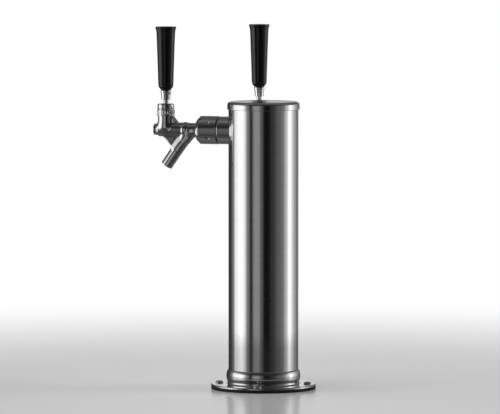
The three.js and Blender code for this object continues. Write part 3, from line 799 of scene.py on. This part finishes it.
def make_shank():
    wide_r, low, high = turned_size("shank")
    corners = [
        (SHANK_BORE_R, low, 0.3), (SHANK_R, low, 0.8),
        *long_run(SHANK_R, low + 1.2, SHANK_STEP_X - 0.4, THREAD_PITCH / 6),
        (SHANK_R, SHANK_STEP_X), (wide_r, SHANK_STEP_X, 0.4),
        *long_run(wide_r, SHANK_STEP_X + 0.8, high - 1.2, THREAD_PITCH / 6), (wide_r, high, 0.7),
        (SHANK_BORE_R, high, 0.5),
    ]
    ripple = threaded(low + 1, high - 1, THREAD_PITCH, THREAD_DEPTH, SHANK_R - 1)
    piece = lathe("fine_shank", corners, SMALL, "X", ripple, steps=3)
    smooth(piece, 50)
    settle_pair(piece, "shank", faucet_steel)


def column_tool(radius):
    """A rod round the column's axis, which fits a ring to the tube's round wall."""
    reach = 40.0
    return rod("column_tool", radius, -reach, reach, segments=LARGE)


def make_escutcheon():
    outer_r, _, high = turned_size("shank_escutcheon")
    inner_r = SHANK_R + GAP
    low = column_top.x - 9
    corners = [(inner_r, low), (outer_r, low), (outer_r, high, 1.3), (inner_r, high, 0.4)]
    piece = lathe("fine_escutcheon", corners, MEDIUM, "X")
    boolean(piece, [column_tool(column_top.x + GAP)])
    smooth_round(piece, "X")
    settle_pair(piece, "shank_escutcheon", chrome)


def make_inner_washer():
    outer_r, low, _ = turned_size("inner_washer")
    corners = ring(SHANK_R + GAP, outer_r, low, column_top.x)
    piece = lathe("fine_inner_washer", corners, MEDIUM, "X")
    boolean(piece, [column_tool(column_top.x - WALL - GAP)], "INTERSECT")
    smooth_round(piece, "X")
    settle_pair(piece, "inner_washer", white_nylon)


def make_hex_nut(name, node, bore_r, chamfer, material, body="tower"):
    """A six-sided nut whose corners are turned off at both ends."""
    corner_r, low, high = turned_size(node)
    flat_r = corner_r * math.cos(math.radians(30))
    corners = [(bore_r, low, 0.4), (flat_r, low, 0.2), (corner_r + 0.2, low + chamfer),
               (corner_r + 0.2, high - chamfer), (flat_r, high, 0.2), (bore_r, high, 0.4)]
    piece = lathe(name, corners, MEDIUM, "X")
    prism = rod("prism", corner_r, low - 2, high + 2, "X", segments=6)
    boolean(piece, [prism], "INTERSECT")
    smooth(piece, 20)
    settle_pair(piece, node, material, body)


def make_ring(node, inner_r, axis, material, body="tower"):
    """A plain washer or bush."""
    outer_r, low, high = turned_size(node, axis)
    piece = lathe(f"fine_{node}", ring(inner_r, outer_r, low, high, 0.25), SMALL, axis)
    smooth(piece)
    settle_pair(piece, node, material, body)


TAIL_R = 3.6
TAIL_BORE_R = 2.3
TAIL_DROP_X = 10.5
TAIL_BEND_R = 8.0
TAIL_SIDES = 32
BARB_H = 4.5
BARB_COUNT = 3


def tail_radius(height, end):
    """The tail piece's radius, which swells in a cone at each barb near its end."""
    above = height - end
    if above > BARB_COUNT * BARB_H:
        return TAIL_R
    part = (above % BARB_H) / (0.7 * BARB_H)
    return TAIL_R - 0.2 + 1.1 * part if part <= 1 else TAIL_R


def make_tail_piece():
    """A tube that turns down inside the column and ends in barbs."""
    low, high = faucet_span("tail_piece")
    stations = [(high.x, 0.0, 1.0, 0.0)]
    for angle in np.linspace(math.pi / 2, math.pi, 13):
        across, up = math.cos(angle), math.sin(angle)
        stations.append((TAIL_DROP_X + TAIL_BEND_R * (1 + across), TAIL_BEND_R * (up - 1), up, -across))
    stations += [(TAIL_DROP_X, z, 0.0, 1.0) for z in np.linspace(-TAIL_BEND_R, low.z, 161)[1:]]
    angles = np.linspace(0, 2 * math.pi, TAIL_SIDES, endpoint=False)
    outer, bore = [], []
    for x, z, along_x, along_z in stations:
        for wall, radius in ((outer, tail_radius(z, low.z)), (bore, TAIL_BORE_R)):
            across = radius * np.cos(angles)
            wall.append(np.stack([x - along_z * across, radius * np.sin(angles),
                                  z + along_x * across], 1))
    loops = outer + bore[::-1]
    rows = np.arange(len(loops) * TAIL_SIDES).reshape(-1, TAIL_SIDES).tolist()
    piece = new_object("fine_tail_piece", np.concatenate(loops) * MM, skin(rows, True))
    clean_up(piece)
    smooth(piece, 40)
    settle_pair(piece, "tail_piece", faucet_steel)


NECK_R = 7.5
NUT_LIP_X = 71.9
NUT_CHAMFER = 3.6
SPANNER_HOLES = 6
SPANNER_HOLE_R = 2.2
SPANNER_HOLE_X = 60.0


def make_coupling_nut():
    """A round nut with a chamfered front and a row of spanner holes."""
    outer_r, low, high = turned_size("coupling_nut")
    thread_r = turned_size("shank")[0] + GAP
    corners = [
        (thread_r, low, 0.4), (outer_r, low, 0.7), (outer_r, high - NUT_CHAMFER, 0.8),
        (outer_r - NUT_CHAMFER, high, 0.8), (NECK_R + GAP, high, 0.4),
        (NECK_R + GAP, NUT_LIP_X, 0.2), (thread_r, NUT_LIP_X),
    ]
    piece = lathe("fine_coupling_nut", corners, 144, "X")
    hole_r, floor = SPANNER_HOLE_R, outer_r - 1.6
    outline = [(0, floor), (hole_r * 0.9, floor), (hole_r, outer_r - 1.3), (hole_r, outer_r - 0.35),
               (hole_r + 0.5, outer_r + 0.1), (hole_r + 0.5, outer_r + 2), (0, outer_r + 2)]
    tools = []
    for i in range(SPANNER_HOLES):
        tool = lathe("spanner_hole", outline, 32)
        turn = Matrix.Rotation(2 * math.pi * i / SPANNER_HOLES, 4, "X")
        tool.matrix_world = turn @ Matrix.Translation((SPANNER_HOLE_X * MM, 0, 0))
        tools.append(tool)
    boolean(piece, tools)
    smooth_round(piece, "X")
    settle_pair(piece, "coupling_nut", chrome)


# ---- Faucet body ----

body_low, body_high = faucet_span("faucet_body")
NET_STEP = 0.55
BARREL_R = 7.8
NUB_R = 6.3
HEAD_R = 8.7
HEAD_BORE_R = 7.3
WASHER_SEAT_Z = 16.3
BALL_HOLE_R = 5.0
BALL_HOLE_Z = 13.9
CAVITY_R = 6.2
SEAT_X = 90.5
BORE_R = 5.0
BORE_END_X = 123.0
SPOUT_R = 6.6
SPOUT_BORE_R = 4.5
SPOUT_TIP = (LEVER_X - 0.8, -39.5)
SPOUT_BEND = (91.5, -10.5)
BODY_FLANGE_R = 10.4

# Webs behind the casting's head, over its spout and under its neck: the corners of each, half its
# thickness, the rounding of its edges and the fillet where it joins
WEBS = [
    ([(95, 4), (104, 14.6), (110, 14.6), (110, 4)], 4.8, 1.2, 1.8),
    ([(87, -4), (116, -4), (104, -19.5), (97, -22)], 5.0, 1.6, 3.2),
    ([(77.5, -4), (90, -4), (91, -15), (86, -13.5)], 4.6, 1.6, 3.2),
]

LEVER_SWING = math.radians(joints["lever_tilt_right"]["range_deg"][1])
LEVER_TAIL_R = 1.8
TIP_Z = 2.0
TIP_R = 2.5


def flat_route(points):
    return np.array([(x, 0.0, z) for x, z in points])


def spout_route():
    return flat_route(bezier((83, -2.5), SPOUT_BEND, SPOUT_TIP, 14))


def spout_bore_route():
    """From the valve's bore down to the spout's mouth, and out past it."""
    mouth = np.array(SPOUT_TIP)
    down = (mouth - SPOUT_BEND) / np.linalg.norm(mouth - SPOUT_BEND)
    bend = bezier((94.4, -1), (94.2, -12), (99.4, -20.6), 6)
    return flat_route([*bend, mouth + 4 * down])


def outer_body(points):
    """Distance to the faucet body before its bores: barrel, head, nub, spout and webs."""
    x, y, z = points.T
    around = np.hypot(y, z)
    flange = rod_distance(around, x, BODY_FLANGE_R, body_low.x, body_low.x + 2.8, 0.4)
    neck = rod_distance(around, x, NECK_R, body_low.x + 0.5, SEAT_X, 0.4)
    barrel = rod_distance(around, x, BARREL_R, SEAT_X - 3, LEVER_X + 8.2, 1.4)
    nub = rod_distance(around, x, NUB_R, LEVER_X, body_high.x, 1.0)
    across = np.hypot(x - LEVER_X, y)
    cup = rod_distance(across, z, HEAD_R, 2.0, body_high.z, 0.4)
    belly = np.linalg.norm(points - (LEVER_X, 0, 3.2), axis=1) - 8.5
    route = spout_route()
    spout = route_distance(points, np.vstack([route, 2 * route[-1] - route[-2]])) - SPOUT_R
    down = (route[-1] - route[-2]) / np.linalg.norm(route[-1] - route[-2])
    spout = -join_soft(-spout, -((points - route[-1]) @ down), 0.5)
    parts = [(flange, 0.8), (join_soft(cup, belly, 3.0), 2.4), (nub, 1.6), (spout, 2.6)]
    parts += [(plate_distance(points, *web), fillet) for *web, fillet in WEBS]
    body = join_soft(neck, barrel, 3.0)
    for part, fillet in parts:
        body = join_soft(body, part, fillet)
    return body


def tail_slot(points):
    """The room that the lever's tail and tip sweep through."""
    def lean(height):
        drop = (BALL_Z - height) * math.tan(LEVER_SWING)
        return LEVER_X - drop - LEVER_TAIL_R / math.cos(LEVER_SWING) - 0.4
    tip_x = LEVER_X - (BALL_Z - TIP_Z) * math.sin(LEVER_SWING) - TIP_R - 0.5
    front = LEVER_X + TIP_R + 0.4
    corners = [(tip_x, TIP_Z), (tip_x, 5.8), (lean(17), 17), (front, 17), (front, TIP_Z)]
    return plate_distance(points, corners, TIP_R + 0.5, 0.4)


def faucet_distance(points):
    """Distance to the cast faucet body with its bores, cup and spout's mouth."""
    x, y, z = points.T
    around = np.hypot(y, z)
    across = np.hypot(x - LEVER_X, y)
    body = outer_body(points)
    for bore in (
        rod_distance(around, x, CAVITY_R, body_low.x - 5, SEAT_X, 0.3),
        rod_distance(around, x, BORE_R, SEAT_X - 3, BORE_END_X, 0.3),
        rod_distance(across, z, HEAD_BORE_R, WASHER_SEAT_Z, body_high.z + 5, 0.3),
        rod_distance(across, z, BALL_HOLE_R, BALL_HOLE_Z, body_high.z, 0.3),
        tail_slot(points),
    ):
        body = cut_soft(body, bore)
    return cut_soft(body, route_distance(points, spout_bore_route()) - SPOUT_BORE_R, 0.7)


def make_faucet_body():
    margin = 1.5
    low = (body_low.x - margin, -BODY_FLANGE_R - margin, body_low.z - margin)
    high = (body_high.x + margin, BODY_FLANGE_R + margin, body_high.z + margin)
    points, faces, normals = surface_net(faucet_distance, low, high, NET_STEP)
    piece = new_object("fine_faucet_body", points * MM, faces.tolist())
    piece.data.shade_smooth()
    piece.data.normals_split_custom_set_from_vertices([tuple(n) for n in normals])
    settle_pair(piece, "faucet_body", chrome)


# ---- Valve, lever, bonnet and handle ----

SHAFT_STEM_R = 2.25
SHAFT_SHOULDER_R = 4.4
SHAFT_GUIDE_X = 106.0
COUPLING_WASHER_BORE_R = 4.5
FRICTION_WASHER_BORE_R = 5.9
STEM_R = 2.9
BALL_R = 6.0
LEVER_THREAD_R = 3.6
LEVER_THREAD_Z = 38.0
LEVER_COLLAR_FOOT_R = 4.9
HANDLE_BORE_R = 5.6
HANDLE_BORE_TOP = 66.0


def make_valve_shaft():
    outer_r, low, high = turned_size("valve_shaft")
    corners = [
        (0, low), (SHAFT_STEM_R, low, 0.4), (SHAFT_STEM_R, SEAT_X, 0.2),
        (SHAFT_SHOULDER_R, SEAT_X, 0.25), (SHAFT_SHOULDER_R, SEAT_X + 1.4, 0.25),
        (SHAFT_STEM_R, SEAT_X + 2.4, 0.5), (SHAFT_STEM_R, SHAFT_GUIDE_X - 1.5, 0.5),
        (outer_r, SHAFT_GUIDE_X, 0.5), (outer_r, high, 0.6), (0, high),
    ]
    piece = lathe("fine_valve_shaft", corners, SMALL, "X")
    floor = TIP_Z - TIP_R - 0.6
    notch = box_tool("notch", (6.0, 12.0, 12.0), (LEVER_X, 0, floor + 6))
    boolean(piece, [notch])
    smooth_round(piece, "X")
    settle_pair(piece, "valve_shaft", faucet_steel, "shaft_{side}")


def make_ball_bush():
    """The tapered bush over the lever's ball."""
    outer_r, low, high = turned_size("ball_bushing", "lever")
    corners = [(6.35, low, 0.15), (outer_r, low, 0.2), (outer_r, high, 0.2), (5.55, high, 0.15)]
    bush = lathe("fine_ball_bushing", corners, SMALL, "lever")
    smooth(bush)
    settle_pair(bush, "ball_bushing", white_nylon)


def arc(centre, radius, start, end, steps):
    """Points of an arc round a place on the axis, its angles measured from the level, in degrees."""
    angles = np.radians(np.linspace(start, end, steps + 1))
    return [(radius * math.cos(a), centre + radius * math.sin(a)) for a in angles]


def make_lever():
    """A stem with a ball in its middle and a small ball at its foot, threaded for the handle."""
    top = turned_size("lever", "lever")[2]
    tip_join = math.degrees(math.acos(LEVER_TAIL_R / TIP_R))
    ball_low = math.degrees(math.acos(LEVER_TAIL_R / BALL_R))
    ball_high = math.degrees(math.acos(STEM_R / BALL_R))
    corners = [
        *arc(TIP_Z, TIP_R, -90, tip_join, 14), *arc(BALL_Z, BALL_R, -ball_low, ball_high, 28),
        (STEM_R, LEVER_THREAD_Z - 0.2),
        *long_run(LEVER_THREAD_R, LEVER_THREAD_Z + 0.7, top - 1, 0.25),
        (LEVER_THREAD_R - 1, top, 0.3), (0, top),
    ]
    corners[0] = (0, TIP_Z - TIP_R)
    ripple = threaded(LEVER_THREAD_Z + 0.8, top - 1.2, 1.6, 0.5, LEVER_THREAD_R - 0.2)
    piece = lathe("fine_lever", corners, 48, "lever", ripple)
    smooth(piece, 50)
    settle_pair(piece, "lever", lever_steel, "lever_{side}")


def make_lever_collar():
    """The tapered ring that locks the handle, flaring out to its rim."""
    outer_r, low, high = turned_size("lever_collar", "lever")
    foot_r = LEVER_COLLAR_FOOT_R
    flare = bezier((foot_r, low + 0.9), (foot_r, LEVER_THREAD_Z), (outer_r, high - 1.8), 12)
    corners = [
        (STEM_R + GAP, low, 0.15), (foot_r, low, 0.4), *flare, (outer_r, high, 0.5),
        (LEVER_THREAD_R + GAP, high, 0.3), (LEVER_THREAD_R + GAP, LEVER_THREAD_Z - GAP),
        (STEM_R + GAP, LEVER_THREAD_Z - GAP),
    ]
    piece = lathe("fine_lever_collar", corners, SMALL, "lever")
    smooth(piece, 40)
    settle_pair(piece, "lever_collar", chrome, "lever_{side}")


def make_handle():
    """A slim handle that widens slowly upward, flares at its rim and is dished on top."""
    rim_r, low, high = turned_size("tap_handle", "lever")
    foot_r, shoulder_r = rim_r - 3.0, rim_r - 1.2
    side = bezier((foot_r, low + 6), (shoulder_r - 0.8, high - 30), (shoulder_r, high - 10), 24)
    flare = bezier((shoulder_r, high - 10), (shoulder_r + 0.1, high - 4.5), (rim_r, high - 1.9), 12)
    dish = bezier((rim_r - 2.0, high - 0.25), (rim_r - 6, high - 0.9), (0, high - 0.9), 8)
    corners = [
        (0, HANDLE_BORE_TOP), (HANDLE_BORE_R, HANDLE_BORE_TOP, 0.4), (HANDLE_BORE_R, low, 0.5),
        (foot_r - 3.2, low, 1.2), (foot_r - 0.5, low + 3.2, 3.5), *side, *flare[1:],
        (rim_r, high, 0.7), *dish,
    ]
    piece = lathe("fine_handle", corners, MEDIUM, "lever")
    smooth(piece, 40)
    settle_pair(piece, "tap_handle", handle_black, "lever_{side}")


FLUTES = 18


def make_bonnet():
    """The screwed cap over the ball: a fluted skirt, a groove, and a rounded top with a cone mouth."""
    outer_r, low, high = turned_size("bonnet", "lever")
    inner_r = HEAD_R + GAP
    step_z = low + 6.5
    flute_low, flute_high = low + 0.9, step_z - 0.5
    dome = bezier((outer_r - 0.5, step_z + 1.6), (outer_r - 0.5, high), (outer_r - 1.2, high), 8)
    corners = [
        (inner_r, low, 0.2), (outer_r, low, 0.5), *long_run(outer_r, flute_low, flute_high, 0.4),
        (outer_r, step_z, 0.4), (outer_r - 1.0, step_z + 0.3, 0.2),
        (outer_r - 1.0, step_z + 1.0, 0.2), *dome, (8.2, high, 0.3), (5.8, BALL_Z + 3.4, 0.2),
        (HEAD_BORE_R, BALL_Z + 3.4), (HEAD_BORE_R, body_high.z + GAP),
        (inner_r, body_high.z + GAP),
    ]

    def flute(radius, height, angle):
        if radius < outer_r - 0.05 or not flute_low < height < flute_high:
            return 0.0
        middle = 1 - abs(2 * (height - flute_low) / (flute_high - flute_low) - 1) ** 4
        return -0.42 * middle * max(0.0, math.cos(FLUTES * angle)) ** 1.5

    piece = lathe("fine_bonnet", corners, 216, "lever", flute)
    smooth(piece, 45)
    settle_pair(piece, "bonnet", chrome)


make_gasket()
make_flange()
make_screws()
make_column()
make_cap()
make_linings()
make_shank()
make_escutcheon()
make_inner_washer()
make_hex_nut("fine_lock_nut", "shank_lock_nut", SHANK_R + GAP, 1.4, faucet_brass)
make_tail_piece()
make_coupling_nut()
make_faucet_body()
make_valve_shaft()
make_ring("seat_washer", SHAFT_STEM_R + GAP, "X", black_rubber, "shaft_{side}")
make_hex_nut("fine_shaft_nut", "shaft_nut", SHAFT_STEM_R + GAP, 0.6,
             faucet_steel, "shaft_{side}")
make_ring("coupling_washer", COUPLING_WASHER_BORE_R, "X", white_nylon)
make_ring("friction_washer", FRICTION_WASHER_BORE_R, "lever", white_nylon)
make_ball_bush()
make_lever()
make_lever_collar()
make_handle()
make_ring("handle_insert", LEVER_THREAD_R + GAP, "lever", insert_brass, "lever_{side}")
make_bonnet()


# ---- Studio ----

# Cards and lights round the tower: degrees to the right of the camera as it looks, and brightness
STUDIO = [
    (-180, 0.75), (-168, 0.08), (-150, 0.035), (-134, 0.075), (-118, 0.27), (-104, 1.30),
    (-76, 1.80), (-66, 1.25), (-54, 0.30), (-41, 0.03), (-28, 0.35), (-17, 0.36), (-6, 0.12),
    (4, 0.008), (15, 0.009), (30, 0.045), (54, 0.155), (67, 0.24), (82, 0.75), (96, 1.80),
    (112, 0.95), (126, 0.48), (146, 0.21), (168, 0.22),
]
OVERHEAD = 0.11
OVERHEAD_IN_FRONT = 0.03
UNDERNEATH = 0.05


def make_world():
    """Soft boxes, grey cards and dark gaps all round for reflections, and plain white behind."""
    world = bpy.data.worlds.new("studio")
    bpy.context.scene.world = world
    world.use_nodes = True
    tree = world.node_tree
    way = add_node(tree, "TexCoord").outputs["Generated"]
    x, y, z = split(tree, way)
    to_camera = math.radians(CAMERA_AZIMUTH - 90)
    one = maths(tree, "ADD", maths(tree, "MULTIPLY", x, math.cos(to_camera)),
                maths(tree, "MULTIPLY", y, math.sin(to_camera)))
    two = maths(tree, "SUBTRACT", maths(tree, "MULTIPLY", y, math.cos(to_camera)),
                maths(tree, "MULTIPLY", x, math.sin(to_camera)))
    turn = maths(tree, "ARCTAN2", two, one)
    part = maths(tree, "MULTIPLY_ADD", turn, 1 / (2 * math.pi), 0.5)
    ramp = add_node(tree, "ValToRGB", {0: part})
    ramp.color_ramp.interpolation = "EASE"
    stops = ramp.color_ramp.elements
    for stop in stops:
        stop.color = grey(STUDIO[0][1])
    for angle, level in STUDIO[1:]:
        stop = stops.new((angle + 180) / 360)
        stop.color = grey(level)
    upward = remap(tree, z, 0.18, 0.40, 0.0, 0.95)
    in_front = remap(tree, one, 0.1, 0.7)
    above = mix_colour(tree, in_front, grey(OVERHEAD), grey(OVERHEAD_IN_FRONT))
    topped = mix_colour(tree, upward, ramp.outputs["Color"], above)
    downward = remap(tree, z, -0.30, -0.75, 0.0, 0.9)
    all_round = mix_colour(tree, downward, topped, grey(UNDERNEATH))
    cards = add_node(tree, "Background", {"Color": all_round})
    plain = add_node(tree, "Background", {"Color": grey(1.0)})
    seen = add_node(tree, "LightPath").outputs["Is Camera Ray"]
    mixed = mix_shader(tree, seen, cards.outputs[0], plain.outputs[0])
    tree.links.new(mixed, tree.nodes["World Output"].inputs["Surface"])


def area_light(name, place, size, power):
    """A soft light overhead that no mirror-bright piece shows."""
    light = bpy.data.lights.new(name, "AREA")
    light.shape = "DISK"
    light.size = size
    light.energy = power
    lamp = add_object(name, light)
    lamp.location = place
    lamp.rotation_euler = Vector(place).to_track_quat("Z", "Y").to_euler()
    lamp.visible_glossy = False


NEAR_FLOOR_R = 0.75
FAR_FLOOR_R = 14.0


def floor_material():
    """Pale smooth worktop that fades to the white background far away.

    The tower's bright metal shows the part of it near the tower as a dull mirror, painted a darker grey
    where it is met at a glancing angle: painted shade in its reflections.
    """
    material, tree, where = new_material("pale_floor")
    length = add_node(tree, "VectorMath", {0: where}, operation="LENGTH")
    off = length.outputs["Value"]
    in_metal = add_node(tree, "LightPath").outputs["Is Glossy Ray"]
    facing = add_node(tree, "LayerWeight", {"Blend": 0.5}).outputs["Facing"]
    grazing = remap(tree, facing, 0.7, 0.9)
    steep = remap(tree, facing, 0.57, 0.46)
    # Painted shade: seen in the steel, the floor turns a darker grey at glancing angles.
    painted_shade_in_steel = mix_colour(tree, grazing, grey(0.84), grey(0.45))
    colour = mix_colour(tree, in_metal, grey(0.84), painted_shade_in_steel)
    shine = maths(tree, "MULTIPLY_ADD", maths(tree, "MAXIMUM", grazing, steep), 0.25, 0.7)
    dress(tree, {"Base Color": colour, "Metallic": maths(tree, "MULTIPLY", in_metal, shine),
                 "Roughness": 0.2, "Specular IOR Level": 0.35})
    glow = add_node(tree, "Emission", {"Color": grey(1.0)})
    clear = add_node(tree, "BsdfTransparent")
    far = maths(tree, "MULTIPLY", remap(tree, off, 0.26, 1.1),
                maths(tree, "SUBTRACT", 1.0, in_metal))
    lost = maths(tree, "MULTIPLY", in_metal, remap(tree, off, 0.45, NEAR_FLOOR_R))
    pale = tree.nodes["Principled BSDF"].outputs[0]
    faded = mix_shader(tree, far, pale, glow.outputs[0])
    shown = mix_shader(tree, lost, faded, clear.outputs[0])
    tree.links.new(shown, tree.nodes["Material Output"].inputs["Surface"])
    return material


def make_floor():
    """A round floor in two parts. Only the near one shows in the steel."""
    material = floor_material()
    drop = -0.02
    near_edge = (NEAR_FLOOR_R / MM, drop)
    near = lathe("floor_near", [(0, drop), near_edge], 128)
    far = lathe("floor_far", [near_edge, (FAR_FLOOR_R / MM, drop)], 128, closed=False)
    far.visible_glossy = False
    for part in (near, far):
        if part.data.polygons[0].normal.z < 0:
            part.data.flip_normals()
        part.data.materials.append(material)


def make_camera():
    """A long lens from behind and to one side, a little above the base, aimed at the middle."""
    low, high = cad_box
    middle = (low + high) / 2
    azimuth = math.radians(CAMERA_AZIMUTH)
    camera_data = bpy.data.cameras.new("camera")
    camera = add_object("camera", camera_data)
    camera.location = (CAMERA_DISTANCE * math.sin(azimuth), -CAMERA_DISTANCE * math.cos(azimuth),
                       CAMERA_HEIGHT)
    to_middle = middle - camera.location
    camera.rotation_euler = to_middle.to_track_quat("-Z", "Y").to_euler()
    view_height = (high.z - low.z) / CAMERA_FILL
    camera_data.sensor_width = SENSOR_WIDTH
    view_width = view_height * IMAGE_WIDTH / IMAGE_HEIGHT
    camera_data.lens = SENSOR_WIDTH * to_middle.length / view_width
    camera_data.clip_end = 60
    bpy.context.scene.camera = camera


make_world()
area_light("overhead_light", (0.5, -0.3, 2.2), 1.6, 22.0)
area_light("side_light", (-1.6, 1.2, 1.8), 1.2, 12.0)
make_floor()
make_camera()
bpy.context.scene.view_settings.view_transform = "Standard"
